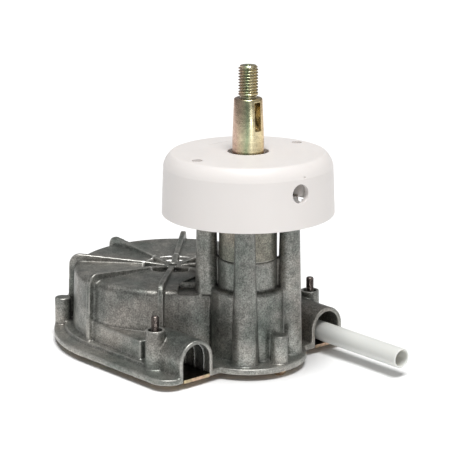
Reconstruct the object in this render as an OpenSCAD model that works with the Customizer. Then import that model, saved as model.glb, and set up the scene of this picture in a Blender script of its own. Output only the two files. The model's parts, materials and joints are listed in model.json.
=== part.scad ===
// Mechanical rotary cable steering helm: a tapered wheel shaft drives a cable drum through a
// pinion and gear, in a die-cast housing that hangs behind a dashboard under a round bezel.
// Millimetres. The origin is on the shaft's axis in the dash mounting plane. +Z points up the
// shaft to the wheel, +X the way both cable ports face, and the drum lies towards -X.

/* [Steering shaft] */
// Diameter of the shaft at the large end of its taper
shaft_d = 19.05; // [18:0.05:19.1]
// Height at which the taper starts
taper_start = 46.7; // [42:0.1:55]
// Height at which the taper ends and the thread starts
taper_end = 70; // [62:0.5:80]
// Diameter lost over each 12 mm of taper
taper_loss = 1; // [0.5:0.1:1.5]
// Outside diameter of the wheel nut's thread
thread_d = 12; // [10:0.5:14]
// Height of the tip of the shaft
shaft_tip = 89.5; // [84:0.5:100]
// Width of the half-round key's slot
keyway_w = 4.76; // [3:0.01:6]
// Diameter of the shaft in its upper bush
bearing_d = 20; // [19.5:0.1:21]
// Diameter of the shaft inside the pinion
journal_d = 15; // [12:0.5:15]

/* [Bezel] */
// Outside radius of the bezel at the dash
bezel_r = 52.3; // [50:0.1:60]
// Radius of the bezel wall at its upper edge
bezel_edge_r = 51.15; // [48:0.05:58]
// Height of that upper edge
bezel_edge_z = 29.4; // [25:0.1:32]
// Radius of the curve between that edge and the flat top
shoulder_r = 13; // [12:0.5:16]
// Height of the bezel
bezel_h = 37.8; // [36:0.1:38.4]
// Wall thickness of the bezel
bezel_wall = 3; // [2:0.1:3.4]
// Radius of the opening round the shaft
bezel_hole_r = 12.4; // [11:0.1:16]
// Diameter of the hole in the side
side_hole_d = 11.5; // [6:0.5:12]
// Height of the hole in the side
side_hole_z = 21; // [18:0.5:22]
// Direction of the hole in the side, in degrees from +X
side_hole_angle = -4.5; // [-20:0.5:20]
// Distance of the two dash screw holes from the shaft's axis
dash_screw_y = 39.4; // [38:0.1:42]

/* [Housing] */
// Distance of the four posts from the shaft's axis
post_circle_r = 25.3; // [25:0.1:27]
// Radius of a post at the dash
post_top_r = 6; // [5:0.1:6.4]
// Radius of a post at the flange
post_foot_r = 8.1; // [7:0.1:9]
// Radius of the collar cast round the shaft
collar_r = 18.2; // [17:0.1:18.6]
// Radius of the block round the pinion
block_r = 22.9; // [22:0.1:24]
// Height of the top of the pinion block
block_top = -45.9; // [-46.5:0.1:-45]
// Height of the top of the drum chamber
chamber_top = -48.2; // [-49:0.1:-48]
// Radius of the chamber's wall at its top
chamber_top_r = 63.4; // [63:0.1:64]
// Radius of the chamber's wall at the flange
chamber_foot_r = 65; // [64.5:0.1:66]
// Height of the low step round the chamber's foot
plinth_top = -86.1; // [-87.5:0.1:-85]
// Inside radius of the drum chamber
cavity_r = 61.2; // [61:0.1:61.6]
// Number of stiffening ribs on the chamber
rib_count = 8; // [6:1:12]
// Thickness of a rib
rib_w = 3.4; // [2.5:0.1:4.5]
// Height of the bottom of the flange
flange_bottom = -92.1; // [-93:0.1:-92]
// Thickness of the flange
flange_t = 3.8; // [3.2:0.1:5]
// Radius of the flange's lobe round the shaft
lobe_r = 36.2; // [35:0.1:38]
// Thickness of the base plate
plate_t = 2; // [1.5:0.1:2.2]

/* [Cable ports] */
// Distance of each cable tunnel from the middle plane
tunnel_y = 51.6; // [51:0.1:52]
// Outside radius of a tunnel
tunnel_r = 12.6; // [12.2:0.1:13.5]
// Inside radius of a tunnel
tunnel_bore_r = 9.94; // [9.5:0.02:10.2]
// Radius of the passage from a tunnel to the drum
core_r = 4.4; // [4:0.1:5]
// Height of the centre of a tunnel's arch
tunnel_z = -80.1; // [-80.1:0.1:-79.5]
// Where the front tunnel ends, along X
front_mouth_x = 13.6; // [12:0.1:17]
// Where the rear tunnel ends, along X
rear_mouth_x = 16.2; // [12:0.1:17]
// Outside diameter of the spent cable tube
tube_d = 12.3; // [11:0.1:12.3]
// Inside diameter of the spent cable tube
tube_bore_d = 10; // [8:0.1:10.4]
// Where the spent cable tube ends, along X
tube_end_x = 81.5; // [60:0.5:82]
// Height of the ledge on the block beside the drum
ledge_z = -74.2; // [-75:0.1:-73]

/* [Gears] */
// Module of the gear teeth
gear_module = 2; // [2:1:2]
// Teeth on the pinion
pinion_teeth = 16; // [16:1:16]
// Teeth on the drum gear
drum_teeth = 58; // [58:1:58]
// Face width of the drum gear
gear_w = 12; // [8:1:12]

/* [Hidden] */
$fn = 96;
eps = 0.01;
fit_gap = 0.05;

flange_top = flange_bottom + flange_t;
plate_top = flange_bottom + plate_t;
drum_x = -gear_module * (pinion_teeth + drum_teeth) / 2;

// Flange outline: a round end behind the drum, straight sides and two rounded front corners
flange_r = 79.5;
flange_x = drum_x + 4;
corner_r = 12;
corner_y = 64.5;
plate_inset = 2.4;

// Chamber and ribs
ceiling = chamber_top - 4.2;
chamber_edge_r = 4.5;
chamber_dish = 0.8;
plinth_r = 70.2;
rib_rise_rim = 4.8;
rib_rise_recess = 1;
rib_proud = 4;
rib_corner_r = 7;
recess_r = 18.8;
recess_floor = chamber_top - 4;
hub_ring_r = 5.2;
hub_ring_hole_r = 2.8;
hub_ring_top = chamber_top - 0.8;
hub_boss_r = 21.5;
hub_boss_bottom = -57;
axle_top = recess_floor - 1;

// The lower level of the chamber's roof round the pinion block, and its small fences
step_r = 43;
step_z = chamber_top - 2.8;
fence_t = 2;
fence_l = 22;

// Blocks beside the drum, through which the cable's core reaches it
block_y = 65.6;
block_end_x = -23.6;
neck_y = 61.5;
arch_start_x = -20;
socket_end_x = -9;

// Tower
sleeve_r = 17.7;
sleeve_bore_r = 11.5;
sleeve_bottom = -28;
collar_bottom = -45;
bush_r = 12.5;
bush_bottom = -52;
bush_top = -29;
pinion_cavity_r = 19.2;
pinion_cavity_top = -50;
seal_r = 15;
seal_bottom = -9;

// Screws and their bosses
clamp_x = -12.1;
clamp_y = 62.8;
clamp_boss_top = -64.4;
clamp_boss_r = 5.9;
clamp_boss_foot_r = 6.6;
clamp_screw_top = -56;
screw_r = 2.5;
short_boss_r = 5.1;
short_boss_top = -70.8;
head_r = 4.8;
head_t = 3.9;
lobe_screw_x = 29;
rear_screw_r = 71.5;
rear_screw_angle = 130;
cover_spots = [[lobe_screw_x, 0],
               [drum_x + rear_screw_r * cos(rear_screw_angle), rear_screw_r * sin(rear_screw_angle)],
               [drum_x + rear_screw_r * cos(rear_screw_angle), -rear_screw_r * sin(rear_screw_angle)]];
clamp_spots = [[clamp_x, -clamp_y], [clamp_x, clamp_y]];

// Levels inside the chamber
gear_top = -55;
pinion_top = -53;
pinion_bottom = -69;
web_top = -59;
web_bottom = -64;
axle_r = 6;
drum_bush_r = 9;
wheel_bottom = -88.8;
wheel_rim_r = 55.5;
wheel_rim_top = -73;
wheel_rim_bottom = -87.6;
groove_r = 4.4;
rivet_circle_r = 28;
guide_inner_r = 56.2;
guide_top = -70;
lower_bush_r = 10;
journal_bottom = -91;
seat_bottom = 35.4;
tube_start_x = -8.5;
tube_z = plate_top + tube_d / 2 + 0.05;

// Bezel
mount_plate_r = 33;
mount_plate_t = 4;
fin_w = 2;
fin_h = 6;
dash_hole_r = 2.1;
shoulder_z = 27;
bolt_r = 3;
bolt_head_r = 5;

// ---- shared shapes ----

// A solid of revolution from a list of [radius, height] points
module turned(points) rotate_extrude() polygon(points);

module ring(outer_r, inner_r, bottom, top)
    turned([[inner_r, bottom], [outer_r, bottom], [outer_r, top], [inner_r, top]]);

// Points on an arc, for a profile
function arc(centre, r, from, to, steps = 8) =
    [for (i = [0 : steps]) let (a = from + (to - from) * i / steps)
        centre + r * [cos(a), sin(a)]];

function mouth_x(side) = side < 0 ? front_mouth_x : rear_mouth_x;

// Direction, from both centres, of the straight side that joins the flange's rear circle to a
// front corner's circle
function side_angle(side) =
    let (run = mouth_x(side) - corner_r - flange_x, d = norm([run, corner_y]))
    atan2(corner_y, run) + acos((flange_r - corner_r) / d);

// Where the flange's front edge meets the lobe, as an angle about the shaft
function lobe_angle(side, inset) = acos((mouth_x(side) - inset) / (lobe_r - inset));

// The flange's outline, drawn smaller by inset
module flange_outline(inset = 0)
    polygon(concat(arc([mouth_x(1) - corner_r, corner_y], corner_r - inset, 0, side_angle(1), 12),
                   arc([flange_x, 0], flange_r - inset, side_angle(1), 360 - side_angle(-1), 60),
                   arc([mouth_x(-1) - corner_r, -corner_y], corner_r - inset,
                       360 - side_angle(-1), 360, 12),
                   arc([0, 0], lobe_r - inset, -lobe_angle(-1, inset), lobe_angle(1, inset), 40)));

// A tunnel's cross-section: an arch on legs, turned to run along +X
module tunnel(side, r, from_x, to_x, bottom)
    translate([from_x, side * tunnel_y, 0])
        rotate([90, 0, 90])
            linear_extrude(to_x - from_x) {
                translate([0, tunnel_z]) circle(r);
                translate([-r, bottom]) square([2 * r, tunnel_z - bottom]);
            }

// ---- housing ----

module chamber_shell() {
    edge = chamber_edge_r;
    difference() {
        translate([drum_x, 0, 0])
            turned(concat([[0, flange_top - 1], [chamber_foot_r, flange_top - 1]],
                          arc([chamber_top_r - edge, chamber_top - edge], edge, 0, 90),
                          [[recess_r, chamber_top - chamber_dish],
                           [recess_r, recess_floor], [0, recess_floor]]));
        translate([0, 0, step_z]) cylinder(h = 10, r = step_r);
    }
}

// The low step round the chamber's foot, carried on along the blocks to the clamp bosses
module plinth() {
    h = plinth_top - flange_top + 1;
    translate([drum_x, 0, flange_top - 1]) cylinder(h = h, r = plinth_r);
    for (side = [-1, 1])
        translate([0, 0, flange_top - 1])
            linear_extrude(h)
                polygon([[drum_x + 7.3, side * 50], [drum_x + 7.3, side * (plinth_r - 0.6)],
                         [clamp_x, side * 67.6], [clamp_x, side * 50]]);
}

module pinion_block() {
    edge = 2.5;
    turned(concat([[0, flange_top - 1], [block_r + 0.6, flange_top - 1]],
                  arc([block_r - edge, block_top - edge], edge, 0, 90),
                  [[collar_r, block_top], [collar_r, sleeve_bottom], [0, sleeve_bottom]]));
}

// One rib in the plane of radius and height: it falls from the rim to the hub ring, and its
// outer end runs down the chamber's side
module rib_profile() {
    outer_r = chamber_top_r + rib_proud;
    rim_z = chamber_top + rib_rise_rim;
    root_z = recess_floor - 0.1;
    polygon(concat([[0, root_z], [0, hub_ring_top], [hub_ring_r, hub_ring_top],
                    [recess_r, chamber_top + rib_rise_recess]],
                   arc([outer_r - rib_corner_r, rim_z - rib_corner_r], rib_corner_r, 90, 0),
                   [[chamber_foot_r + rib_proud, flange_top - 1],
                    [chamber_foot_r - 1, flange_top - 1],
                    [chamber_top_r - chamber_edge_r, root_z]]));
}

module ribs()
    translate([drum_x, 0, 0])
        for (i = [0 : rib_count - 1])
            rotate([0, 0, i * 360 / rib_count])
                rotate([90, 0, 0])
                    translate([0, 0, -rib_w / 2]) linear_extrude(rib_w) rib_profile();

module posts()
    for (a = [45 : 90 : 315]) {
        foot = abs(a - 180) < 90 ? step_z - 0.4 : flange_top - 1;
        share = -foot / -flange_top;
        rotate([0, 0, a])
            translate([post_circle_r, 0, foot])
                cylinder(h = -foot, r1 = post_top_r + (post_foot_r - post_top_r) * share,
                         r2 = post_top_r);
    }

// A straight block beside the drum with a ledge on top, and a narrower neck that joins it to
// the tunnel, so that a slot stays open beside the clamp boss
module port_blocks() {
    inner_y = tunnel_y - tunnel_r;
    h = ledge_z - flange_top + 1;
    for (side = [0, 1])
        mirror([0, side, 0])
            translate([0, inner_y, flange_top - 1]) {
                translate([drum_x, 0, 0]) cube([block_end_x - drum_x, block_y - inner_y, h]);
                translate([block_end_x - 1, 0, 0])
                    cube([arch_start_x - block_end_x + 2, neck_y - inner_y, h]);
            }
}

module bosses() {
    for (p = clamp_spots)
        translate([p[0], p[1], flange_top - 1])
            cylinder(h = clamp_boss_top - flange_top + 1, r1 = clamp_boss_foot_r,
                     r2 = clamp_boss_r);
    for (p = cover_spots)
        translate([p[0], p[1], flange_top - 1])
            cylinder(h = short_boss_top - flange_top + 1, r1 = short_boss_r + 0.2,
                     r2 = short_boss_r);
    translate([block_r - 2, -1.5, flange_top - 1])
        cube([lobe_screw_x - block_r, 3, short_boss_top - flange_top]);
    for (side = [-1, 1])
        translate([16.6, side * 14.2 - 0.7, flange_top - 1])
            rotate([90, 0, 0])
                translate([0, 0, -1.4])
                    linear_extrude(1.4) polygon([[0, 0], [8.5, 0], [4.5, 24], [0, 24]]);
}

// A low fence on the lower roof, from the pinion block to its edge behind each drum-side post
module fences()
    for (side = [0, 1])
        mirror([0, side, 0])
            translate([-34.4, 24.6, step_z - 0.4])
                rotate([0, 0, -49])
                    translate([0, -fence_t / 2, 0]) cube([fence_l, fence_t, 3.8]);

module housing_solid() {
    translate([0, 0, flange_bottom]) linear_extrude(flange_t) flange_outline();
    plinth();
    chamber_shell();
    translate([drum_x, 0, recess_floor - 1])
        cylinder(h = hub_ring_top - recess_floor + 1, r = hub_ring_r);
    pinion_block();
    ribs();
    posts();
    for (side = [-1, 1])
        tunnel(side, tunnel_r, arch_start_x, mouth_x(side), flange_top - 1);
    port_blocks();
    bosses();
    fences();
}

// Everything inside the casting that is open, from the drum chamber to the screw holes
module housing_hollows() {
    translate([drum_x, 0, flange_bottom - 1]) {
        difference() {
            cylinder(h = ceiling - flange_bottom + 1, r = cavity_r);
            translate([0, 0, hub_boss_bottom - flange_bottom + 1])
                cylinder(h = 20, r = hub_boss_r);
        }
        cylinder(h = axle_top - flange_bottom + 1, r = axle_r);
    }
    translate([0, 0, flange_bottom - 1]) {
        cylinder(h = pinion_cavity_top - flange_bottom + 1, r = pinion_cavity_r);
        linear_extrude(plate_t + 1) flange_outline(plate_inset);
    }
    cylinder(h = 200, r = bush_r, center = true);
    for (side = [-1, 1]) {
        tunnel(side, tunnel_bore_r, socket_end_x, mouth_x(side) + 1, flange_bottom - 1);
        tunnel(side, core_r, drum_x, socket_end_x + 1, flange_bottom - 1);
    }
    for (a = [45 : 90 : 315])
        rotate([0, 0, a])
            translate([post_circle_r, 0, -18]) cylinder(h = 19, r = bolt_r + fit_gap);
    for (p = clamp_spots)
        translate([p[0], p[1], flange_bottom - 1]) {
            cylinder(h = 60, r = screw_r + fit_gap);
            translate([0, 0, clamp_boss_top - flange_bottom - 1.5])
                cylinder(h = 10, r = clamp_boss_r - 1.6);
        }
    for (p = cover_spots)
        translate([p[0], p[1], flange_bottom - 1])
            cylinder(h = 15, r = screw_r + fit_gap);
}

// The casting. Its ribs cross a round recess over the drum's axle and meet at a small ring
module housing() color([0.55, 0.55, 0.52])
    difference() {
        housing_solid();
        housing_hollows();
        translate([drum_x, 0, hub_ring_top - 3]) cylinder(h = 20, r = hub_ring_hole_r);
    }

// ---- base plate and screws ----

module base_plate() color([0.72, 0.66, 0.40])
    difference() {
        translate([0, 0, flange_bottom])
            linear_extrude(plate_t) {
                flange_outline(plate_inset + 0.1);
                for (side = [-1, 1])
                    translate([0, side * tunnel_y - tunnel_bore_r + 0.1])
                        square([mouth_x(side), 2 * tunnel_bore_r - 0.2]);
            }
        for (p = concat(clamp_spots, cover_spots))
            translate([p[0], p[1], flange_bottom - 1]) cylinder(h = 5, r = screw_r + 0.3);
        translate([0, 0, flange_bottom - 1]) cylinder(h = 5, r = lower_bush_r);
        translate([drum_x, 0, flange_bottom - 1]) cylinder(h = 5, r = axle_r - 1);
    }

// A screw from below: a domed head under the flange, and a shank up to top
module screw_from_below(spot, top) {
    dome = head_t - 1;
    translate([spot[0], spot[1], flange_bottom])
        difference() {
            turned(concat([[0, -head_t], [head_r - 2.2, -head_t],
                           [head_r - 0.7, 1.6 - head_t], [head_r, -1], [head_r, 0],
                           [screw_r, 0], [screw_r, top - flange_bottom - 0.6],
                           [screw_r - 0.6, top - flange_bottom], [0, top - flange_bottom]]));
            translate([0, 0, -head_t - eps])
                for (a = [0, 90])
                    rotate([0, 0, a])
                        translate([-2.6, -0.6, 0]) cube([5.2, 1.2, dome]);
        }
}

module cover_screws() color([0.75, 0.66, 0.38])
    for (p = cover_spots) screw_from_below(p, flange_bottom + 13);

module clamp_screw_front() color([0.45, 0.44, 0.42])
    screw_from_below(clamp_spots[0], clamp_screw_top);

module clamp_screw_rear() color([0.45, 0.44, 0.42])
    screw_from_below(clamp_spots[1], clamp_screw_top);

// ---- tower pieces ----

module shaft_sleeve() color([0.62, 0.60, 0.52])
    turned([[sleeve_bore_r, sleeve_bottom + 0.02], [sleeve_r, sleeve_bottom + 0.02],
            [sleeve_r, -0.02], [seal_r, -0.02], [seal_r, seal_bottom],
            [sleeve_bore_r, seal_bottom]]);

module upper_bush() color([0.78, 0.62, 0.34])
    ring(bush_r - 0.02, bearing_d / 2 + fit_gap, bush_bottom, bush_top);

module lower_bush() color([0.78, 0.62, 0.34])
    turned([[journal_d / 2 + fit_gap, flange_bottom + 0.2], [lower_bush_r - 0.02, flange_bottom + 0.2],
            [lower_bush_r - 0.02, plate_top + 0.02], [lower_bush_r + 3, plate_top + 0.02],
            [lower_bush_r + 3, plate_top + 2], [journal_d / 2 + fit_gap, plate_top + 2]]);

module shaft_seal() color([0.12, 0.12, 0.12])
    turned([[bearing_d / 2 + fit_gap, -6], [bearing_d / 2 + 1.5, seal_bottom + 0.02],
            [seal_r - 0.02, seal_bottom + 0.02], [seal_r - 0.02, -1.5],
            [bearing_d / 2 + 1.5, -1.5], [bearing_d / 2 + fit_gap, -4.6]]);

// ---- drum supports ----

module drum_axle() color([0.70, 0.70, 0.72])
    translate([drum_x, 0, 0])
        turned([[0, flange_bottom + 0.1], [axle_r - 1.02, flange_bottom + 0.1],
                [axle_r - 1.02, plate_top + 0.02], [axle_r - 0.02, plate_top + 0.02],
                [axle_r - 0.02, axle_top - 0.8], [axle_r - 0.8, axle_top - 0.02],
                [0, axle_top - 0.02]]);

module drum_washer() color([0.70, 0.70, 0.72])
    translate([drum_x, 0, 0]) ring(13, axle_r + fit_gap, plate_top + 0.02, wheel_bottom - 0.1);

// A half ring behind the drum that keeps the cable in the wheel's groove
module cable_guide() color([0.20, 0.20, 0.20])
    translate([drum_x, 0, 0])
        difference() {
            ring(cavity_r - 0.1, guide_inner_r, plate_top + 0.1, guide_top);
            translate([0, -100, -100]) cube([200, 200, 200]);
        }

module spent_tube() color([0.90, 0.90, 0.86])
    translate([tube_start_x, tunnel_y, tube_z])
        rotate([0, 90, 0])
            difference() {
                cylinder(h = tube_end_x - tube_start_x, d = tube_d);
                translate([0, 0, -1])
                    cylinder(h = tube_end_x - tube_start_x + 2, d = tube_bore_d);
            }

// ---- bezel ----

// The cap is open below: a drafted wall, a curved shoulder, two screw bosses that hang from
// its roof, and low fins that centre it on the mounting plate
module bezel_cap() color([0.93, 0.92, 0.90]) {
    w = bezel_wall;
    start = asin((bezel_edge_z - shoulder_z) / shoulder_r);
    end = asin((bezel_h - shoulder_z) / shoulder_r);
    centre = [bezel_edge_r - shoulder_r * cos(start), shoulder_z];
    roof = bezel_h - w;
    roof_r = centre[0] + shoulder_r * cos(end) - 2.2;
    difference() {
        union() {
            turned(concat([[bezel_r - w, 0], [bezel_r, 0]],
                          arc(centre, shoulder_r, start, end, 10),
                          [[bezel_hole_r, bezel_h], [bezel_hole_r, roof], [roof_r, roof],
                           [bezel_edge_r - w, bezel_edge_z - 1]]));
            for (side = [-1, 1])
                translate([0, side * dash_screw_y, 4.5]) cylinder(h = roof - 4, r = 4.5);
            for (a = [0 : 60 : 300])
                rotate([0, 0, a])
                    translate([mount_plate_r + 0.2, -fin_w / 2, 0.5])
                        cube([bezel_r - w - mount_plate_r + 0.3, fin_w, fin_h - 0.5]);
        }
        rotate([0, 0, side_hole_angle])
            translate([bezel_edge_r - 10, 0, side_hole_z])
                rotate([0, 90, 0]) cylinder(h = 20, d = side_hole_d);
        for (side = [-1, 1])
            translate([0, side * dash_screw_y, 0]) {
                cylinder(h = 60, r = dash_hole_r);
                translate([0, 0, bezel_h - 2]) cylinder(h = 10, r = 3.15);
            }
    }
}

module mounting_plate() color([0.70, 0.70, 0.70])
    difference() {
        ring(mount_plate_r, bezel_hole_r + 0.6, 0, mount_plate_t);
        for (a = [45 : 90 : 315])
            rotate([0, 0, a]) translate([post_circle_r, 0, -1]) cylinder(h = 10, r = bolt_r + 0.3);
    }

module mounting_bolts() color([0.70, 0.70, 0.70])
    for (a = [45 : 90 : 315])
        rotate([0, 0, a])
            translate([post_circle_r, 0, mount_plate_t + 1.22])
                difference() {
                    turned([[0, -20], [bolt_r - 0.6, -20], [bolt_r, -19.4], [bolt_r, 0],
                            [bolt_head_r, 0], [bolt_head_r, 5.4], [bolt_head_r - 0.6, 6],
                            [0, 6]]);
                    translate([0, 0, 3]) cylinder(h = 4, r = 2.9, $fn = 6);
                }

module mounting_washers() color([0.75, 0.75, 0.75])
    for (a = [45 : 90 : 315])
        rotate([0, 0, a])
            translate([post_circle_r, 0, 0])
                ring(6.2, bolt_r + 0.2, mount_plate_t + 0.02, mount_plate_t + 1.2);

// ---- shaft and pinion ----

module steering_shaft() color([0.83, 0.72, 0.45]) {
    r = shaft_d / 2;
    small_r = r - (taper_end - taper_start) * taper_loss / 12 / 2;
    t = thread_d / 2;
    difference() {
        turned([[0, journal_bottom], [journal_d / 2 - 1, journal_bottom],
                [journal_d / 2, journal_bottom + 1], [journal_d / 2, pinion_top],
                [bearing_d / 2, pinion_top + 0.02], [bearing_d / 2, seat_bottom - 0.5],
                [r, seat_bottom], [r, taper_start], [small_r, taper_end - 0.8],
                [small_r - 0.8, taper_end], [t - 1, taper_end], [t - 1, taper_end + 1.5],
                [t, taper_end + 2.5], [t, shaft_tip - 1.2], [t - 1.2, shaft_tip],
                [1.6, shaft_tip], [0, shaft_tip - 2]]);
        // Half-round keyway, cut by a disc, in the +X side of the taper
        translate([13.6, -keyway_w / 2, (taper_start + taper_end) / 2 + 1.3])
            rotate([-90, 0, 0]) cylinder(h = keyway_w, r = 9.9);
        // Keyway for the pinion
        translate([journal_d / 2 - 2, -2, pinion_bottom]) cube([4, 4, pinion_top - pinion_bottom - 2]);
        // Groove for the retaining ring
        ring(journal_d / 2 + 1, journal_d / 2 - 0.8, pinion_bottom - 1.4, pinion_bottom - 0.1);
    }
}

function involute(a) = tan(a) * 180 / PI - a;

// Half of a tooth's angle at radius r, with a little taken off for backlash
function tooth_half_angle(teeth, r) =
    let (pitch_r = gear_module * teeth / 2, base_r = pitch_r * cos(20),
         a = r > base_r ? acos(base_r / r) : 0, slack = 0.12 / pitch_r * 180 / PI)
    90 / teeth + involute(20) - involute(a) - slack;

function gear_points(teeth) =
    let (pitch_r = gear_module * teeth / 2, root_r = pitch_r - 1.25 * gear_module,
         tip_r = pitch_r + gear_module - 0.1,
         radii = [for (i = [0 : 4]) root_r + (tip_r - root_r) * i / 4])
    [for (tooth = [0 : teeth - 1])
        let (middle = 360 * tooth / teeth)
        for (flank = [-1, 1])
            for (i = [0 : 4])
                let (r = radii[flank < 0 ? i : 4 - i],
                     a = middle + flank * tooth_half_angle(teeth, r))
                r * [cos(a), sin(a)]];

module pinion() color([0.55, 0.55, 0.56])
    difference() {
        translate([0, 0, pinion_bottom])
            linear_extrude(pinion_top - pinion_bottom)
                rotate(180 / pinion_teeth) polygon(gear_points(pinion_teeth));
        translate([0, 0, pinion_bottom - 1]) cylinder(h = 20, r = journal_d / 2 + 0.02);
        translate([0, -2, pinion_bottom - 1]) cube([journal_d / 2 + 2, 4, 20]);
    }

module pinion_key() color([0.50, 0.50, 0.50])
    translate([journal_d / 2 - 1.98, -1.98, pinion_bottom + 0.1])
        cube([3.8, 3.96, pinion_top - pinion_bottom - 2.2]);

module thrust_washer() color([0.75, 0.75, 0.72])
    ring(15, bearing_d / 2 + 0.2, pinion_top + 0.05, bush_bottom - 0.1);

module retaining_ring() color([0.35, 0.35, 0.35])
    difference() {
        ring(journal_d / 2 + 1.7, journal_d / 2 - 0.78, pinion_bottom - 1.35,
             pinion_bottom - 0.15);
        translate([0, -1.2, pinion_bottom - 3]) cube([20, 2.4, 4]);
    }

// ---- drum ----

module drum_gear() color([0.60, 0.60, 0.61])
    translate([drum_x, 0, 0])
        difference() {
            translate([0, 0, gear_top - gear_w])
                linear_extrude(gear_w) polygon(gear_points(drum_teeth));
            translate([0, 0, web_top]) cylinder(h = 20, r = 50);
            translate([0, 0, gear_top - gear_w - 1]) cylinder(h = web_bottom - gear_top + gear_w + 1,
                                                               r = 50);
            translate([0, 0, -100]) cylinder(h = 100, r = drum_bush_r + 0.02);
            for (i = [0 : 5])
                rotate([0, 0, i * 60 + 30])
                    translate([rivet_circle_r, 0, -100]) cylinder(h = 100, r = 3.02);
        }

// The cable wheel: a rim with a half-round groove, notched to grip the wound cable core
module cable_wheel() color([0.30, 0.30, 0.31])
    translate([drum_x, 0, 0])
        difference() {
            turned([[drum_bush_r + 0.02, web_bottom - 0.02], [40, web_bottom - 0.02],
                    [40, wheel_rim_top], [wheel_rim_r, wheel_rim_top],
                    [wheel_rim_r, wheel_rim_bottom], [42, wheel_rim_bottom], [42, -80],
                    [16, -80], [16, wheel_bottom], [drum_bush_r + 0.02, wheel_bottom]]);
            rotate_extrude() translate([wheel_rim_r + 0.5, tunnel_z]) circle(groove_r);
            for (i = [0 : 5])
                rotate([0, 0, i * 60 + 30])
                    translate([rivet_circle_r, 0, -100]) cylinder(h = 100, r = 3.02);
        }

module drum_bush() color([0.78, 0.62, 0.34])
    translate([drum_x, 0, 0])
        ring(drum_bush_r, axle_r + fit_gap, wheel_bottom, web_top);

module drum_rivets() color([0.65, 0.65, 0.66])
    translate([drum_x, 0, 0])
        for (i = [0 : 5])
            rotate([0, 0, i * 60 + 30])
                translate([rivet_circle_r, 0, 0])
                    turned([[0, -82], [5, -82], [5, -80.02], [3, -80.02], [3, web_top + 0.02],
                            [5, web_top + 0.02], [4, web_top + 1.6], [0, web_top + 1.6]]);

housing();
base_plate();
cover_screws();
clamp_screw_front();
clamp_screw_rear();
shaft_sleeve();
upper_bush();
lower_bush();
shaft_seal();
drum_axle();
drum_washer();
cable_guide();
spent_tube();
bezel_cap();
mounting_plate();
mounting_bolts();
mounting_washers();
steering_shaft();
pinion();
pinion_key();
thrust_washer();
retaining_ring();
drum_gear();
cable_wheel();
drum_bush();
drum_rivets();
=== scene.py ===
"""Looks of a mechanical rotary cable steering helm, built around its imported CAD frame."""
import json
import math

import bmesh
import bpy
from mathutils import Matrix, Vector


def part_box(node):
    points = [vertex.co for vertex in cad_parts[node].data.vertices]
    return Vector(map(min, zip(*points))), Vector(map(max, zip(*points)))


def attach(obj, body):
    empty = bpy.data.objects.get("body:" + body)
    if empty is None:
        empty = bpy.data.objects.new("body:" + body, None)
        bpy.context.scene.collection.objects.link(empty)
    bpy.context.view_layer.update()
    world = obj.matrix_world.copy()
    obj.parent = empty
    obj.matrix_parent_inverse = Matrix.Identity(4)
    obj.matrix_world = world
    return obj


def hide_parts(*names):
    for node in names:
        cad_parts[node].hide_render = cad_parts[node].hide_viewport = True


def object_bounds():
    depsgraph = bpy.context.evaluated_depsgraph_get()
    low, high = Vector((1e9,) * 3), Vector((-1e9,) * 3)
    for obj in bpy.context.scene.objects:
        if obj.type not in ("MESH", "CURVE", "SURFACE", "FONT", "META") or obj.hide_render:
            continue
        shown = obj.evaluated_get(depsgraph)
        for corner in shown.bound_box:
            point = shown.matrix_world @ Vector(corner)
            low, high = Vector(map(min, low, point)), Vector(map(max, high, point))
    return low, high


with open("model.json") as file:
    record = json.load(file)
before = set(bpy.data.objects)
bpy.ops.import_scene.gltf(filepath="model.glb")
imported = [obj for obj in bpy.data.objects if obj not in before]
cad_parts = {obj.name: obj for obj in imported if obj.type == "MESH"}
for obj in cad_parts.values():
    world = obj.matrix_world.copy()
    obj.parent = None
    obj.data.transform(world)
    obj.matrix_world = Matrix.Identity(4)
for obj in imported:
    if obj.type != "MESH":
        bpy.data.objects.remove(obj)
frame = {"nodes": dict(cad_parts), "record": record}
cad_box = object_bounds()
nodes = frame["nodes"]
mounts = {mount["name"]: mount for mount in frame["record"]["mounts"]}
MM = 0.001

# ---------------------------------------------------------------- places, from the frame

shaft_low, shaft_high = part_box("steering_shaft")
cap_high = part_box("bezel_cap")[1]
sleeve_low, sleeve_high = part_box("shaft_sleeve")
tube_low, tube_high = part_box("spent_tube")
axle_low, axle_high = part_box("drum_axle")

SHAFT_R = mounts["wheel_seat"]["dims"]["r_mm"] * MM
NUT_THREAD_R = mounts["wheel_nut_thread"]["dims"]["r_mm"] * MM
BEARING_R = 10 * MM
JOURNAL_R = 7.5 * MM
SHAFT_TIP = shaft_high.z
SEAT_LENGTH = mounts["wheel_seat"]["dims"]["length_mm"] * MM
SEAT_LOW = mounts["wheel_seat"]["pos_m"][2] - SEAT_LENGTH / 2
TAPER_START = SEAT_LOW + SEAT_LENGTH
TAPER_LENGTH = 23.3 * MM
TAPER_RATIO = 12
TAPER_END = TAPER_START + TAPER_LENGTH

# The recess over the drum's axle: its radius, and a height just under its floor.
DRUM_X = (axle_low.x + axle_high.x) / 2
RECESS_R = 18.8 * MM
RECESS_LOW = -52.5 * MM

FLOOR_Z = cad_box[0].z
FLOOR_HALF = 60
LIT_POINT = Vector((0, 0, -30 * MM))

# A 60 degree thread: its depth, its crest's width and both flanks' width, as shares of the pitch.
THREAD_DEPTH = 0.61
THREAD_CREST = 0.12
THREAD_FLANK = 0.70
ROWS_PER_PITCH = 14


# ---------------------------------------------------------------- mesh helpers

def add_object(name, mesh):
    piece = bpy.data.objects.new(name, mesh)
    bpy.context.scene.collection.objects.link(piece)
    return piece


def object_from_bmesh(name, bm):
    bmesh.ops.recalc_face_normals(bm, faces=bm.faces)
    mesh = bpy.data.meshes.new(name)
    bm.to_mesh(mesh)
    bm.free()
    return add_object(name, mesh)


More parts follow.
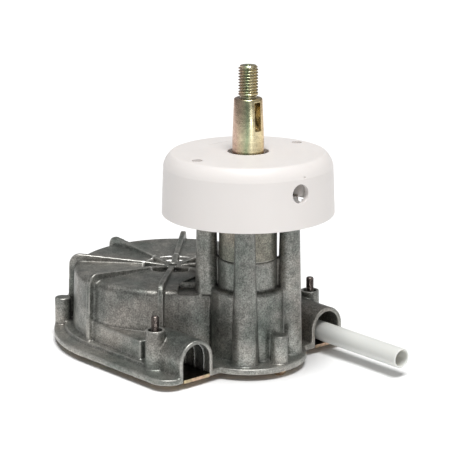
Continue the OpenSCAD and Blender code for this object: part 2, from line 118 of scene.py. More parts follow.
def apply_modifiers(piece):
    """Replaces the mesh by what its modifiers make of it."""
    bpy.context.view_layer.update()
    evaluated = piece.evaluated_get(bpy.context.evaluated_depsgraph_get())
    mesh = bpy.data.meshes.new_from_object(evaluated)
    piece.modifiers.clear()
    piece.data = mesh


def shade(piece, sharp_angle=35):
    piece.data.shade_smooth()
    piece.data.set_sharp_from_angle(angle=math.radians(sharp_angle))


def arc(centre_r, centre_z, radius, start, end, steps=6):
    """Points of a rounded corner in a profile, angles in degrees."""
    points = []
    for i in range(steps + 1):
        a = math.radians(start + (end - start) * i / steps)
        points.append((centre_r + radius * math.cos(a), centre_z + radius * math.sin(a)))
    return points


def angles(count):
    """This many equal steps round a full turn."""
    return [2 * math.pi * i / count for i in range(count)]


def ring(bm, radii, height, centre=(0, 0)):
    """Points round an upright axis at one height, one for each radius."""
    points = []
    for a, radius in zip(angles(len(radii)), radii):
        points.append(bm.verts.new((centre[0] + radius * math.cos(a),
                                    centre[1] + radius * math.sin(a), height)))
    return points


def lathe(name, profile, segments=128):
    """Turns a closed profile of (radius, height) into a ring round the Z axis."""
    bm = bmesh.new()
    rings = [ring(bm, [radius] * segments, height) for radius, height in profile]
    for low, high in zip(rings, rings[1:] + rings[:1]):
        join_rings(bm, low, high)
    return object_from_bmesh(name, bm)


def join_rings(bm, low, high):
    """Faces between two rings, either of which may be a single point."""
    count = max(len(low), len(high))
    for i in range(count):
        j = (i + 1) % count
        corners = [low[i % len(low)], low[j % len(low)], high[j % len(high)], high[i % len(high)]]
        unique = list(dict.fromkeys(corners))
        if len(unique) > 2:
            bm.faces.new(unique)


def thread_depth(height, angle, pitch):
    """How far below the crest a 60 degree thread's surface is, from 0 to 1."""
    phase = (height / pitch - angle / (2 * math.pi)) % 1
    flank = abs(phase - 0.5) * 2
    return min(1, max(0, (flank - THREAD_CREST) / THREAD_FLANK))


def threaded_rod(name, rows, pitch, depth, segments=72, centre=(0, 0)):
    """A turned rod with a helical thread. Each row is (height, radius, thread), where thread
    is how much of the full depth is cut at that row. Its first and last radius are 0."""
    bm = bmesh.new()
    rings = []
    for height, radius, thread in rows:
        radii = [0]
        if radius > 0:
            radii = [radius - depth * thread * thread_depth(height, a, pitch)
                     for a in angles(segments)]
        rings.append(ring(bm, radii, height, centre))
    for low, high in zip(rings, rings[1:]):
        join_rings(bm, low, high)
    return object_from_bmesh(name, bm)


def thread_rows(start, end, radius, pitch, depth, chamfer):
    """Rows for a threaded stretch that fades in over its first pitch and ends in a chamfer."""
    rows = []
    steps = int((end - start) / (pitch / ROWS_PER_PITCH))
    for i in range(steps + 1):
        height = start + (end - start) * i / steps
        fade_in = min(1, (height - start) / pitch)
        trimmed = min(radius, radius - chamfer + (end - height))
        left = max(0, trimmed - (radius - depth)) / depth
        rows.append((height, trimmed, fade_in * min(1, left)))
    return rows


def combine(piece, other, operation):
    """Works a closed shape into a piece, and removes that shape."""
    modifier = piece.modifiers.new("combine", "BOOLEAN")
    modifier.operation = operation
    modifier.solver = "EXACT"
    modifier.object = other
    apply_modifiers(piece)
    bpy.data.objects.remove(other)


def cut(piece, cutter):
    combine(piece, cutter, "DIFFERENCE")


def join(piece, other):
    combine(piece, other, "UNION")


def cylinder(radius, length, matrix, segments=64):
    """A closed cylinder centred on the matrix's origin, along its Z axis."""
    bm = bmesh.new()
    bmesh.ops.create_cone(bm, cap_ends=True, segments=segments, radius1=radius, radius2=radius,
                          depth=length, matrix=matrix)
    return object_from_bmesh("cutter", bm)


def block(size, matrix):
    """A closed box of this size centred on the matrix's origin."""
    bm = bmesh.new()
    bmesh.ops.create_cube(bm, size=1, matrix=matrix @ Matrix.Diagonal((*size, 1)))
    return object_from_bmesh("cutter", bm)


def finish_piece(piece, body, slot, material, *replaced):
    """Gives a piece its one material and its body, and hides the nodes that it stands for. Its slot
    argument is not used.
    """
    piece.data.materials.clear()
    piece.data.materials.append(material)
    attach(piece, body)
    if replaced:
        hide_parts(*replaced)


# ---------------------------------------------------------------- materials

def new_material(name, color, metallic=0.0, roughness=0.5):
    material = bpy.data.materials.new(name)
    material.use_nodes = True
    shader = material.node_tree.nodes["Principled BSDF"]
    shader.inputs["Base Color"].default_value = (*color, 1)
    shader.inputs["Metallic"].default_value = metallic
    shader.inputs["Roughness"].default_value = roughness
    return material, shader


class Graph:
    """Short names for the nodes that these materials use."""

    def __init__(self, material):
        self.tree = material.node_tree
        self.position = self.node("ShaderNodeTexCoord").outputs["Object"]

    def node(self, kind, **settings):
        made = self.tree.nodes.new(kind)
        for key, value in settings.items():
            setattr(made, key, value)
        return made

    def link(self, source, target):
        self.tree.links.new(source, target)

    def stretched(self, scale):
        mapping = self.node("ShaderNodeMapping")
        mapping.inputs["Scale"].default_value = scale
        self.link(self.position, mapping.inputs["Vector"])
        return mapping.outputs["Vector"]

    def noise(self, scale, detail=4.0, roughness=0.55, vector=None, distortion=0.0):
        made = self.node("ShaderNodeTexNoise")
        made.inputs["Scale"].default_value = scale
        made.inputs["Detail"].default_value = detail
        made.inputs["Roughness"].default_value = roughness
        made.inputs["Distortion"].default_value = distortion
        self.link(vector or self.position, made.inputs["Vector"])
        return made.outputs["Fac"]

    def ramp(self, source, *stops):
        """Stops are (place, colour) or (place, grey)."""
        made = self.node("ShaderNodeValToRGB")
        elements = made.color_ramp.elements
        while len(elements) < len(stops):
            elements.new(0.5)
        for element, (place, value) in zip(elements, stops):
            element.position = place
            element.color = (*value, 1) if isinstance(value, tuple) else (value, value, value, 1)
        self.link(source, made.inputs["Fac"])
        return made.outputs["Color"]

    def mix(self, share, first, second, blend="MIX"):
        made = self.node("ShaderNodeMix", data_type="RGBA", blend_type=blend)
        for value, target in ((share, made.inputs[0]), (first, made.inputs[6]),
                              (second, made.inputs[7])):
            if isinstance(value, (int, float)):
                target.default_value = value
            elif isinstance(value, tuple):
                target.default_value = (*value, 1)
            else:
                self.link(value, target)
        return made.outputs[2]

    def math(self, operation, first, second=0):
        made = self.node("ShaderNodeMath", operation=operation)
        for value, target in ((first, made.inputs[0]), (second, made.inputs[1])):
            if isinstance(value, (int, float)):
                target.default_value = value
            else:
                self.link(value, target)
        return made.outputs[0]

    def bump(self, height, distance, strength=1.0, normal=None):
        made = self.node("ShaderNodeBump")
        made.inputs["Distance"].default_value = distance
        made.inputs["Strength"].default_value = strength
        self.link(height, made.inputs["Height"])
        if normal:
            self.link(normal, made.inputs["Normal"])
        return made.outputs["Normal"]

    def place(self):
        """The surface point's X, Y and Z."""
        parts = self.node("ShaderNodeSeparateXYZ")
        self.link(self.position, parts.inputs[0])
        return [parts.outputs[axis] for axis in "XYZ"]

    def from_axis(self, axis_x):
        """Distance from the upright axis at this X."""
        x, y, _ = self.place()
        x = self.math("SUBTRACT", x, axis_x)
        squares = self.math("ADD", self.math("MULTIPLY", x, x), self.math("MULTIPLY", y, y))
        return self.math("SQRT", squares)

    def turned_band(self, radius, low):
        """1 on the wall of this radius round the drum's axis, above this height, and else 0."""
        margin = 0.7 * MM
        off = self.math("ABSOLUTE", self.math("SUBTRACT", self.from_axis(DRUM_X), radius))
        near = self.math("LESS_THAN", off, margin)
        return self.math("MULTIPLY", near, self.math("GREATER_THAN", self.place()[2], low))

    def painted_corner_shade(self, distance, *stops):
        """Painted shade: dark in corners and grooves, read from ambient occlusion."""
        open_sky = self.node("ShaderNodeAmbientOcclusion", samples=6)
        open_sky.inputs["Distance"].default_value = distance
        return self.ramp(open_sky.outputs["AO"], *stops)

    def along_z(self, low, high):
        """0 at one height and 1 at another."""
        return self.math("DIVIDE", self.math("SUBTRACT", self.place()[2], low), high - low)

    def from_shaft(self, reach):
        """0 on the shaft's axis and 1 at this distance from it."""
        return self.math("DIVIDE", self.from_axis(0), reach)

    def pointiness(self):
        return self.node("ShaderNodeNewGeometry").outputs["Pointiness"]


def cast_alloy(name, tint=(1.0, 1.0, 1.0)):
    """Tumbled die casting: mottled grey, warm and green patches, speckle, burnished edges,
    painted shade in the corners and creases, and painted light that changes with height and
    with distance from the shaft."""
    material, shader = new_material(name, (0.2, 0.2, 0.2), metallic=0.75, roughness=0.5)
    g = Graph(material)

    def shade_of(*rgb):
        return tuple(value * share for value, share in zip(rgb, tint))

    patches = g.ramp(g.noise(30, detail=5, roughness=0.62),
                     (0.34, shade_of(0.140, 0.156, 0.140)), (0.50, shade_of(0.215, 0.217, 0.200)),
                     (0.66, shade_of(0.310, 0.297, 0.270)))
    warm = g.ramp(g.noise(19, detail=3), (0.52, 0.0), (0.68, 1.0))
    color = g.mix(g.math("MULTIPLY", warm, 0.42), patches, shade_of(0.330, 0.280, 0.246))
    blotches = g.ramp(g.noise(210, detail=6, roughness=0.72), (0.34, 0.70), (0.68, 1.26))
    color = g.mix(1.0, color, blotches, "MULTIPLY")
    speckle = g.ramp(g.noise(1100, detail=3, roughness=0.7), (0.36, 0.58), (0.64, 1.40))
    color = g.mix(1.0, color, speckle, "MULTIPLY")
    point = g.pointiness()
    # Painted shade: darker where the surface is hollow, along creases and fillets.
    color = g.mix(1.0, color, g.ramp(point, (0.43, 0.30), (0.496, 1.0)), "MULTIPLY")
    # Painted shade: darker in corners and grooves, from ambient occlusion.
    color = g.mix(1.0, color, g.painted_corner_shade(4 * MM, (0.20, 0.42), (0.80, 1.0)), "MULTIPLY")
    # Painted light: brighter low down by the floor and at the chamber's top, darker on the walls
    # between, for how the light falls at each height.
    painted_light_by_height = g.ramp(g.along_z(-95 * MM, 0), (0.03, 0.68), (0.16, 0.67), (0.31, 0.42),
                       (0.44, 0.43), (0.50, 0.55), (0.60, 0.47), (1.0, 0.47))
    color = g.mix(1.0, color, painted_light_by_height, "MULTIPLY")
    # Painted light: the colour is scaled up, most of all within 25 mm of the shaft.
    painted_light_near_shaft = g.ramp(g.from_shaft(50 * MM), (0.5, 2.5), (0.8, 2.0))
    color = g.mix(1.0, color, painted_light_near_shaft, "MULTIPLY")
    wear = g.ramp(g.noise(85, detail=4), (0.38, 0.25), (0.60, 1.0))
    edge = g.math("MULTIPLY", g.ramp(point, (0.515, 0.0), (0.565, 1.0)), wear)
    color = g.mix(edge, color, (0.60, 0.59, 0.55))
    machined = g.math("MULTIPLY", g.turned_band(RECESS_R, RECESS_LOW), 0.8)
    color = g.mix(machined, color, (0.66, 0.65, 0.62))
    g.link(color, shader.inputs["Base Color"])
    g.link(g.ramp(g.noise(160, detail=5), (0.3, 0.31), (0.7, 0.50)), shader.inputs["Roughness"])
    normal = g.bump(g.noise(120, detail=3), 0.6 * MM, 0.4)
    normal = g.bump(g.noise(800, detail=4, roughness=0.7), 0.14 * MM, 0.6, normal)
    g.link(normal, shader.inputs["Normal"])
    return material


def zinc_gold():
    """Yellow passivated zinc: gold that drifts into pink and green over polished steel."""
    roughness = 0.27
    material, shader = new_material("zinc_gold", (0.6, 0.5, 0.3), metallic=1.0, roughness=roughness)
    g = Graph(material)
    x, y, _ = g.place()
    across = g.math("ADD", g.math("MULTIPLY", x, 34.0), g.math("MULTIPLY", y, 40.0))
    drift = g.noise(60, detail=2, vector=g.stretched((1.0, 1.0, 0.16)), distortion=0.3)
    across = g.math("ADD", g.math("ADD", across, 0.5),
                    g.math("MULTIPLY", g.math("SUBTRACT", drift, 0.5), 0.9))
    color = g.ramp(across, (0.05, (0.64, 0.46, 0.36)), (0.26, (0.68, 0.58, 0.40)),
                   (0.46, (0.42, 0.50, 0.31)), (0.60, (0.72, 0.66, 0.44)),
                   (0.82, (0.82, 0.66, 0.38)), (1.0, (0.58, 0.38, 0.24)))
    turned = g.ramp(g.noise(220, detail=3, vector=g.stretched((0.12, 0.12, 9.0))),
                    (0.3, 0.84), (0.7, 1.1))
    color = g.mix(1.0, color, turned, "MULTIPLY")
    stains = g.ramp(g.noise(520, detail=5, roughness=0.7), (0.36, 0.80), (0.58, 1.05))
    color = g.mix(1.0, color, stains, "MULTIPLY")
    # Painted shade: darker in hollows such as the thread's grooves, from ambient occlusion.
    color = g.mix(1.0, color, g.painted_corner_shade(3.5 * MM, (0.30, 0.10), (0.80, 1.0)), "MULTIPLY")
    g.link(color, shader.inputs["Base Color"])
    g.link(g.ramp(g.noise(300, detail=4), (0.3, roughness - 0.07), (0.7, roughness + 0.1)),
           shader.inputs["Roughness"])
    g.link(g.bump(g.noise(260, detail=3, vector=g.stretched((0.1, 0.1, 8.0))), 0.05 * MM, 0.6),
           shader.inputs["Normal"])
    return material


def plated_steel():
    """Yellow passivated sheet and screws, with dark grease on the surfaces that face up."""
    material, shader = new_material("plated_steel", (0.4, 0.36, 0.24), metallic=1.0, roughness=0.35)
    g = Graph(material)
    color = g.ramp(g.noise(60, detail=4, distortion=0.4), (0.34, (0.40, 0.41, 0.25)),
                   (0.47, (0.60, 0.42, 0.31)), (0.64, (0.60, 0.52, 0.32)))
    stains = g.ramp(g.noise(420, detail=5, roughness=0.7), (0.36, 0.6), (0.6, 1.1))
    color = g.mix(1.0, color, stains, "MULTIPLY")
    normal = g.node("ShaderNodeSeparateXYZ")
    g.link(g.node("ShaderNodeNewGeometry").outputs["Normal"], normal.inputs[0])
    faces_up = 0.7
    greasy = g.math("GREATER_THAN", normal.outputs["Z"], faces_up)
    color = g.mix(greasy, color, g.mix(0.5, color, (0.012, 0.012, 0.010), "MULTIPLY"))
    g.link(g.mix(g.math("MULTIPLY", greasy, 0.9), color, (0.012, 0.011, 0.009)),
           shader.inputs["Base Color"])
    g.link(g.ramp(g.noise(260, detail=4), (0.3, 0.28), (0.7, 0.48)), shader.inputs["Roughness"])
    g.link(g.bump(g.noise(500, detail=4), 0.06 * MM, 0.5), shader.inputs["Normal"])
    return material


def steel(name, color, roughness=0.35, grime=0.5):
    """Metal with darker patches and bright edges."""
    material, shader = new_material(name, color, metallic=1.0, roughness=roughness)
    g = Graph(material)
    dark = tuple(value * grime for value in color)
    patches = g.ramp(g.noise(380, detail=5, roughness=0.65), (0.35, dark), (0.65, color))
    edge = g.ramp(g.pointiness(), (0.52, 0.0), (0.60, 1.0))
    g.link(g.mix(edge, patches, tuple(min(1, value * 1.9) for value in color)),
           shader.inputs["Base Color"])
    g.link(g.ramp(g.noise(500, detail=3), (0.3, roughness - 0.08), (0.7, roughness + 0.12)),
           shader.inputs["Roughness"])
    g.link(g.bump(g.noise(700, detail=3), 0.05 * MM, 0.5), shader.inputs["Normal"])
    return material


def plastic(name, color, roughness=0.45, subsurface=0.0, drift=0.03, grain=0.03 * MM):
    """Moulded plastic with a fine texture and a slight unevenness of tone."""
    material, shader = new_material(name, color, roughness=roughness)
    shader.inputs["Subsurface Weight"].default_value = subsurface
    shader.inputs["Subsurface Scale"].default_value = 4 * MM
    shader.inputs["Subsurface Radius"].default_value = (1.0, 0.9, 0.8)
    g = Graph(material)
    cool = tuple(max(0, value - drift) for value in color)
    tone = g.ramp(g.noise(14, detail=3), (0.35, cool), (0.65, color))
    g.link(tone, shader.inputs["Base Color"])
    g.link(g.ramp(g.noise(180, detail=3), (0.3, roughness - 0.05), (0.7, roughness + 0.08)),
           shader.inputs["Roughness"])
    normal = g.bump(g.noise(55, detail=2), 0.2 * MM, 0.15)
    g.link(g.bump(g.noise(2600, detail=2), grain, 0.6, normal), shader.inputs["Normal"])
    return material


CAST = cast_alloy("cast_alloy")
SLEEVE = cast_alloy("sleeve_alloy", tint=(0.84, 0.82, 0.74))
GOLD = zinc_gold()
PLATE_GOLD = plated_steel()
# Bright steel for the port ridges: a painted highlight, the bright lines along them.
PAINTED_HIGHLIGHT_STEEL = steel("painted_highlight_steel", (0.72, 0.72, 0.69), 0.3, 0.9)
DARK_STEEL = steel("dark_steel", (0.20, 0.17, 0.155), 0.3)
BRIGHT_STEEL = steel("bright_steel", (0.62, 0.62, 0.61), 0.3, 0.8)
GEAR_STEEL = steel("gear_steel", (0.36, 0.36, 0.35), 0.38)
BRONZE = steel("bronze", (0.60, 0.42, 0.20), 0.4, 0.75)
WHITE = plastic("white_plastic", (0.765, 0.730, 0.708), 0.42, subsurface=0.12)
TUBE = plastic("tube_plastic", (0.71, 0.715, 0.68), 0.34, subsurface=0.3, drift=0.02)
BLACK = plastic("black_plastic", (0.025, 0.025, 0.025), 0.5, drift=0.01)
RUBBER = plastic("seal_rubber", (0.02, 0.02, 0.02), 0.7, drift=0.008, grain=0.06 * MM)

SLOT_MATERIALS = {"cast_alloy": CAST, "zinc_gold": PLATE_GOLD, "dark_steel": DARK_STEEL,
                  "bright_steel": BRIGHT_STEEL, "gear_steel": GEAR_STEEL,
                  "sleeve_alloy": SLEEVE, "bronze": BRONZE, "white_plastic": WHITE,
                  "tube_plastic": TUBE, "black_plastic": BLACK, "seal_rubber": RUBBER}


# ---------------------------------------------------------------- pieces

def housing_casting():
    """The casting with the rounded corners that a die gives: the CAD shape is remeshed and
    smoothed, which fillets every inside corner and rounds every edge."""
    piece = add_object("housing_casting", nodes["housing"].data.copy())
    remesh = piece.modifiers.new("remesh", "REMESH")
    remesh.mode = "VOXEL"
    remesh.voxel_size = 0.62 * MM
    smooth = piece.modifiers.new("smooth", "SMOOTH")
    smooth.factor = 0.5
    smooth.iterations = 5
    apply_modifiers(piece)
    piece.data.shade_smooth()
    finish_piece(piece, "root", "cast_alloy", CAST, "housing")


def bezel_profile(top, edge_r, edge_z):
    """The shell's section: tapered wall, rounded shoulder, slightly domed top, even thickness."""
    foot_r = cap_high.x
    wall = 3 * MM
    foot_chamfer = 0.5 * MM
    hole_r, hole_round = 12.4 * MM, 0.7 * MM
    shoulder_r, shoulder_z = 13 * MM, 27 * MM
    rim_top = top - 0.5 * MM
    start = math.degrees(math.asin((edge_z - shoulder_z) / shoulder_r))
    end = math.degrees(math.asin((rim_top - shoulder_z) / shoulder_r))
    shoulder_x = edge_r - shoulder_r * math.cos(math.radians(start))
    flat_r = shoulder_x + shoulder_r * math.cos(math.radians(end))
    crease = 0.6 * MM
    crease_r = edge_r + (foot_r - edge_r) * crease / (edge_z - foot_chamfer)
    profile = [(foot_r - wall, 0), (foot_r - 0.4 * MM, 0), (foot_r, foot_chamfer)]
    profile += [(crease_r, edge_z - crease), (edge_r, edge_z)]
    profile += arc(shoulder_x, shoulder_z, shoulder_r, start + 7, end - 3, 14)
    profile += [(flat_r - 0.6 * MM, rim_top), (flat_r - 3 * MM, rim_top + 0.05 * MM)]
    profile += [(hole_r + 6 * MM, top)]
    profile += arc(hole_r + hole_round, top - hole_round, hole_round, 90, 180)
    profile += [(hole_r, top - wall), (flat_r - 2.2 * MM, top - wall), (edge_r - wall, edge_z - MM)]
    return profile


def bezel_insides(piece, side_y):
    """Two screw bosses, and six short ribs round the foot."""
    boss_r, boss_length, boss_z = 4.5 * MM, 31 * MM, 20 * MM
    for side in (-1, 1):
        place = Matrix.Translation((0, side * side_y, boss_z))
        join(piece, cylinder(boss_r, boss_length, place, 48))
    rib_count, rib_width, rib_height, rib_z = 6, 2 * MM, 5.5 * MM, 3.25 * MM
    rib_inner, rib_outer = 33.2 * MM, cap_high.x - 2.7 * MM
    for i in range(rib_count):
        place = (Matrix.Rotation(math.radians(360 / rib_count * i), 4, "Z")
                 @ Matrix.Translation(((rib_inner + rib_outer) / 2, 0, rib_z)))
        join(piece, block((rib_outer - rib_inner, rib_width, rib_height), place))


def bezel_holes(piece, side_y, top, edge_r, edge_z):
    """The hole in the side, the two screw holes with their counterbores, and two small marks."""
    to_side = Matrix.Rotation(math.pi / 2, 4, "Y")
    side_hole_r, side_hole_z, side_hole_turn = 5.75 * MM, 21 * MM, math.radians(-4.5)
    place = (Matrix.Rotation(side_hole_turn, 4, "Z")
             @ Matrix.Translation((edge_r, 0, side_hole_z)) @ to_side)
    cut(piece, cylinder(side_hole_r, 20 * MM, place, 96))
    screw_r = mounts["dash_screws"]["dims"]["hole_r_mm"] * MM
    head_r, head_depth, head_cutter = 3.15 * MM, 2 * MM, 20 * MM
    for side in (-1, 1):
        place = Matrix.Translation((0, side * side_y, 20 * MM))
        cut(piece, cylinder(screw_r, 60 * MM, place, 32))
        place = Matrix.Translation((0, side * side_y, top - head_depth + head_cutter / 2))
        cut(piece, cylinder(head_r, head_cutter, place, 48))
    dimple = (Matrix.Rotation(math.radians(-1), 4, "Z")
              @ Matrix.Translation((edge_r - 0.1 * MM, 0, edge_z + 0.9 * MM)) @ to_side)
    cut(piece, cylinder(0.7 * MM, 1.0 * MM, dimple, 16))
    scratch = Matrix.Translation((-29 * MM, 2 * MM, top - 0.3 * MM))
    cut(piece, block((0.3 * MM, 17 * MM, 0.3 * MM), scratch))


def bezel():
    """The white shell between the dash and the wheel."""
    top = cap_high.z
    edge_r, edge_z = 51.15 * MM, 29.4 * MM
    side_y = mounts["dash_screws"]["dims"]["spacing_y_mm"] * MM / 2
    piece = lathe("bezel_shell", bezel_profile(top, edge_r, edge_z), segments=256)
    bezel_insides(piece, side_y)
    bezel_holes(piece, side_y, top, edge_r, edge_z)
    shade(piece, 9)
    finish_piece(piece, "root", "white_plastic", WHITE, "bezel_cap")


def wheel_shaft():
    """The tapered, keyed shaft with its nut thread cut as a true helix."""
    pitch = 1.75 * MM
    depth = THREAD_DEPTH * pitch
    pinion_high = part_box("pinion")[1].z
    small_r = SHAFT_R - TAPER_LENGTH / TAPER_RATIO / 2
    neck_r = NUT_THREAD_R - depth
    rows = [(shaft_low.z, 0, 0), (shaft_low.z, JOURNAL_R - MM, 0),
            (shaft_low.z + MM, JOURNAL_R, 0), (pinion_high, JOURNAL_R, 0),
            (pinion_high + 0.05 * MM, BEARING_R, 0), (SEAT_LOW - 0.5 * MM, BEARING_R, 0),
            (SEAT_LOW, SHAFT_R, 0), (TAPER_START - 0.3 * MM, SHAFT_R, 0),
            (TAPER_START + 0.3 * MM, SHAFT_R - 0.04 * MM, 0), (TAPER_END - 0.9 * MM, small_r, 0),
            (TAPER_END - 0.25 * MM, small_r - 0.35 * MM, 0), (TAPER_END, small_r - 0.9 * MM, 0),
            (TAPER_END + 0.02 * MM, neck_r + 0.3 * MM, 0), (TAPER_END + 0.4 * MM, neck_r, 0),
            (TAPER_END + 1.3 * MM, neck_r, 0), (TAPER_END + 1.9 * MM, NUT_THREAD_R - 0.2 * MM, 0)]
    rows += thread_rows(TAPER_END + 2.2 * MM, SHAFT_TIP, NUT_THREAD_R, pitch, depth, 1.3 * MM)
    rows += [(SHAFT_TIP, 1.9 * MM, 0), (SHAFT_TIP - 0.3 * MM, 1.5 * MM, 0),
             (SHAFT_TIP - 2 * MM, 0, 0)]
    piece = threaded_rod("wheel_shaft", rows, pitch, depth, segments=96)
    key_width, key_cutter_r, key_cutter_x = 4.76 * MM, 9.9 * MM, 13.6 * MM
    key_z = (TAPER_START + TAPER_END) / 2 + 1.3 * MM
    keyway = Matrix.Translation((key_cutter_x, 0, key_z)) @ Matrix.Rotation(math.pi / 2, 4, "X")
    cut(piece, cylinder(key_cutter_r, key_width, keyway, 96))
    shade(piece, 40)
    finish_piece(piece, "shaft", "zinc_gold", GOLD, "steering_shaft")


def clamp_screw(node, name):
    """A long screw from below whose dark threaded end stands out of its boss."""
    low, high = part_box(node)
    centre = ((low.x + high.x) / 2, (low.y + high.y) / 2)
    head_r = (high.x - low.x) / 2
    shank_r, thread_r = 2.3 * MM, 2.5 * MM
    pitch = 0.8 * MM
    depth = THREAD_DEPTH * pitch
    thread_start = high.z - 24 * MM
    rows = [(low.z, 0, 0), (low.z, head_r - 2.2 * MM, 0), (low.z + 0.5 * MM, head_r - MM, 0),
            (low.z + 1.3 * MM, head_r - 0.2 * MM, 0), (low.z + 1.9 * MM, head_r, 0),
            (low.z + 2.6 * MM, head_r, 0), (low.z + 2.7 * MM, head_r - 0.3 * MM, 0),
            (low.z + 2.71 * MM, shank_r, 0), (thread_start - 0.3 * MM, shank_r, 0)]
    rows += thread_rows(thread_start, high.z, thread_r, pitch, depth, 0.7 * MM)
    rows += [(high.z, 0, 0)]
    piece = threaded_rod(name, rows, pitch, depth, segments=48, centre=centre)
    cross_recess(piece, centre, low.z)
    shade(piece, 40)
    finish_piece(piece, "root", "dark_steel", DARK_STEEL, node)


def cross_recess(piece, centre, low_z):
    """A cross cut into the underside of a screw's head."""
    length, width, depth = 5.2 * MM, 1.1 * MM, 1.4 * MM
    for turn in (20, 110):
        place = (Matrix.Translation((centre[0], centre[1], low_z))
                 @ Matrix.Rotation(math.radians(turn), 4, "Z"))
        cut(piece, block((length, width, 2 * depth), place))


def tower_sleeve():
    """The plain cylinder between the posts, with a wider seat at the top of its bore. The rings
    beside its chamfers keep the wear on its edges narrow."""
    r = sleeve_high.x
    low, high = sleeve_low.z, sleeve_high.z
    chamfer = 0.5 * MM
    bore = 11.5 * MM
    seat_r, seat_z = 15 * MM, -9 * MM
    profile = [(bore, low), (r - chamfer, low), (r, low + chamfer), (r, low + 2 * chamfer),
               (r, high - 2 * chamfer), (r, high - chamfer), (r - chamfer, high),
               (seat_r, high), (seat_r, seat_z), (bore, seat_z)]
    piece = lathe("tower_sleeve", profile)
    shade(piece, 30)
    finish_piece(piece, "root", "sleeve_alloy", SLEEVE, "shaft_sleeve")


def guide_tube():
    """The white tube for the unused end of the cable."""
    centre_y = (tube_low.y + tube_high.y) / 2
    centre_z = (tube_low.z + tube_high.z) / 2
    r = (tube_high.z - tube_low.z) / 2
    bore = mounts["spent_tube_bore"]["dims"]["r_mm"] * MM
    length = tube_high.x - tube_low.x
    soft = 0.35 * MM
    parts = 12
    profile = [(bore, 0), (r - soft, 0), (r, soft)]
    profile += [(r, length * i / parts) for i in range(1, parts)]
    profile += [(r, length - soft), (r - soft, length), (bore + soft, length),
                (bore, length - soft)]
    piece = lathe("guide_tube", profile, segments=96)
    piece.data.transform(Matrix.Translation((tube_low.x, centre_y, centre_z))
                         @ Matrix.Rotation(math.pi / 2, 4, "Y"))
    shade(piece, 35)
    finish_piece(piece, "root", "tube_plastic", TUBE, "spent_tube")


def port_ridge(name, side, x, width):
    """A thin ridge that stands on the sill and follows the arch most of the way to its top."""
    inlet = mounts["cable_inlet"]
    axis_y, axis_z = abs(inlet["pos_m"][1]), inlet["pos_m"][2]
    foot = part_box("base_plate")[1].z + 0.1 * MM
    bore = inlet["dims"]["r_mm"] * MM
    inner, outer = bore - 0.4 * MM, bore + 0.3 * MM
    steps, step_angle = 9, 8
    path = [(inner, outer, foot, foot)]
    for step in range(steps):
        a = math.radians(step * step_angle)
        path.append((math.cos(a) * inner, math.cos(a) * outer,
                     axis_z + math.sin(a) * inner, axis_z + math.sin(a) * outer))
    bm = bmesh.new()
    rows = []
    for near, far, near_z, far_z in path:
        corners = [(x - width / 2, near, near_z), (x + width / 2, near, near_z),
                   (x + width / 2, far, far_z), (x - width / 2, far, far_z)]
        rows.append([bm.verts.new((cx, side * (axis_y - reach), cz)) for cx, reach, cz in corners])
    for low, high in zip(rows, rows[1:]):
        join_rings(bm, low, high)
    bm.faces.new(rows[0])
    bm.faces.new(rows[-1])
    # The ridges take a bright steel colour: a painted highlight for the bright lines along them.
    finish_piece(object_from_bmesh(name, bm), "root", "cast_alloy", PAINTED_HIGHLIGHT_STEEL)


def port_ridges():
    """Two thin ridges left by the die on the inner wall of each port."""
    for side, port in ((-1, "front"), (1, "rear")):
        port_ridge(f"port_ridge_{port}_1", side, x=-1.5 * MM, width=0.7 * MM)
        port_ridge(f"port_ridge_{port}_2", side, x=7.6 * MM, width=0.4 * MM)


def dress_frame():
    """Every CAD node that still shows takes its slot's material and a fine bevel."""
    slots = {part["node"]: part["material_slot"] for part in frame["record"]["subparts"]}
    for name, node in nodes.items():
        if node.hide_render:
            continue
        node.data.materials.clear()
        node.data.materials.append(SLOT_MATERIALS[slots[name]])
        edges = node.modifiers.new("edges", "BEVEL")
        edges.width = 0.15 * MM
        edges.segments = 1
        edges.limit_method = "ANGLE"
        edges.angle_limit = math.radians(50)
        edges.harden_normals = False


# ---------------------------------------------------------------- stage, lights and camera

def stage():
    """A wide pale floor under the object, in an even dim surrounding light."""
    bm = bmesh.new()
    bmesh.ops.create_grid(bm, x_segments=1, y_segments=1, size=FLOOR_HALF,
                          matrix=Matrix.Translation((0, 0, FLOOR_Z)))
    floor = object_from_bmesh("studio_floor", bm)
    material, _ = new_material("studio_floor", (0.93, 0.93, 0.93), roughness=0.9)
    floor.data.materials.append(material)
    world = bpy.data.worlds.new("studio")
    bpy.context.scene.world = world
    world.use_nodes = True
    world.node_tree.nodes["Background"].inputs["Color"].default_value = (1, 1, 1, 1)
    world.node_tree.nodes["Background"].inputs["Strength"].default_value = 0.25


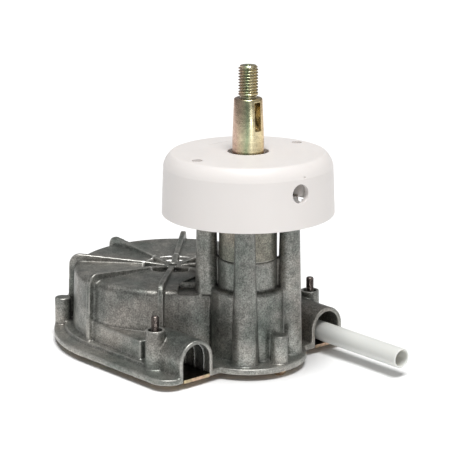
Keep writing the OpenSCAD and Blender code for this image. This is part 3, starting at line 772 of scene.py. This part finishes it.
def facing(azimuth, elevation):
    """The direction towards a light at azimuth (0 is -Y, 90 is +X) and elevation."""
    a, e = math.radians(azimuth), math.radians(elevation)
    return Vector((math.sin(a) * math.cos(e), -math.cos(a) * math.cos(e), math.sin(e)))


def add_lamp(name, kind, direction, distance, energy):
    data = bpy.data.lights.new(name, kind)
    data.energy = energy
    lamp = bpy.data.objects.new(name, data)
    bpy.context.scene.collection.objects.link(lamp)
    lamp.location = LIT_POINT + direction * distance
    lamp.rotation_euler = direction.to_track_quat("Z", "Y").to_euler()
    return data


def skylight(name, azimuth, elevation, strength, spread):
    """A soft, even light from far away, which lights the floor the same all over."""
    data = add_lamp(name, "SUN", facing(azimuth, elevation), distance=2, energy=strength)
    data.angle = math.radians(spread)


def softbox(name, azimuth, elevation, distance, size, power):
    """A square lamp near the object, for a highlight along its edges."""
    data = add_lamp(name, "AREA", facing(azimuth, elevation), distance, power)
    data.shape = "SQUARE"
    data.size = size


def camera():
    """Seen from in front of the ports, a little above, with a long lens."""
    azimuth, distance, height = math.radians(49.14), 1.0078, 0.2572
    pitch, yaw, roll = 0.2582, -0.0133, -0.0026
    data = bpy.data.cameras.new("camera")
    data.sensor_width = 36
    data.lens = 136.98
    data.clip_start = 0.05
    eye = bpy.data.objects.new("camera", data)
    bpy.context.scene.collection.objects.link(eye)
    place = Vector((distance * math.sin(azimuth), -distance * math.cos(azimuth), height))
    turn = (Matrix.Rotation(azimuth - yaw, 4, "Z") @ Matrix.Rotation(math.pi / 2 - pitch, 4, "X")
            @ Matrix.Rotation(roll, 4, "Z"))
    eye.matrix_world = Matrix.Translation(place) @ turn
    bpy.context.scene.camera = eye


camera()
stage()
skylight("key", azimuth=60, elevation=75, strength=3.3, spread=30)
softbox("strip", azimuth=72, elevation=8, distance=1.3, size=0.3, power=1.3)
bpy.context.scene.view_settings.view_transform = "Standard"

housing_casting()
bezel()
wheel_shaft()
clamp_screw("clamp_screw_front", "front_clamp_screw")
clamp_screw("clamp_screw_rear", "rear_clamp_screw")
tower_sleeve()
guide_tube()
port_ridges()
dress_frame()
